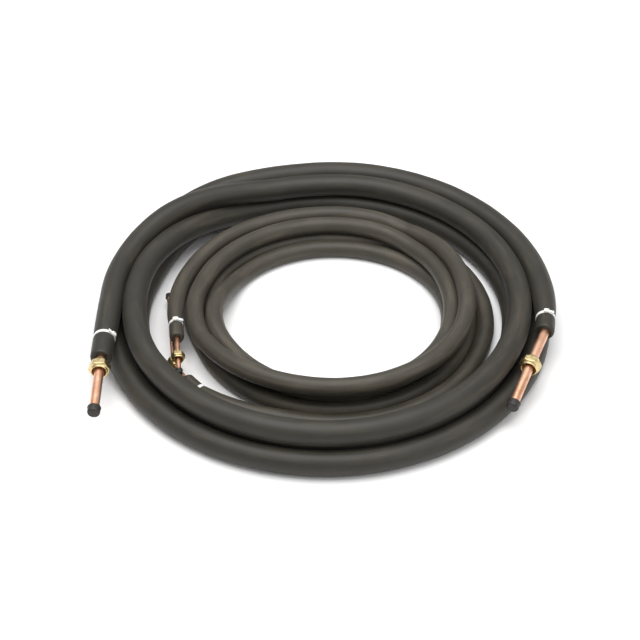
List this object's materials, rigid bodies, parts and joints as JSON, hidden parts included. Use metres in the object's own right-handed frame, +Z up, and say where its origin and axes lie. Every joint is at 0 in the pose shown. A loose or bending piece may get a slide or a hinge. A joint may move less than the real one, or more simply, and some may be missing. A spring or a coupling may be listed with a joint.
{
  "type": "insulated copper line set",
  "caption": "Mini split line set: insulated suction and liquid copper pipes coiled flat, with flare nuts, end caps and ties at the ends.",
  "frame": {"origin": "middle of the footprint's bounding box, on the floor", "axes": "+Z up, along the axis of the coils; +Y to the back, away from the pipe ends; +X to the right end of the wide coil"},
  "size_m": [0.639, 0.6316, 0.0778],
  "materials": {
    "foam": "matte",
    "copper": "satin",
    "brass": "satin",
    "cap": "matte",
    "nylon": "satin"
  },
  "bodies": {
    "root": {"suction_insulation": "foam", "suction_copper_tube": "copper", "liquid_insulation": "foam", "liquid_copper_tube": "copper", "suction_flare_nut_left": "brass", "suction_flare_nut_right": "brass", "liquid_flare_nut_a": "brass", "liquid_flare_nut_b": "brass", "suction_cap_left": "cap", "suction_cap_right": "cap", "liquid_cap_a": "cap", "liquid_cap_b": "cap", "suction_tie_left": "nylon", "suction_tie_right": "nylon", "liquid_tie_a": "nylon", "liquid_tie_b": "nylon"}
  },
  "joints": []
}
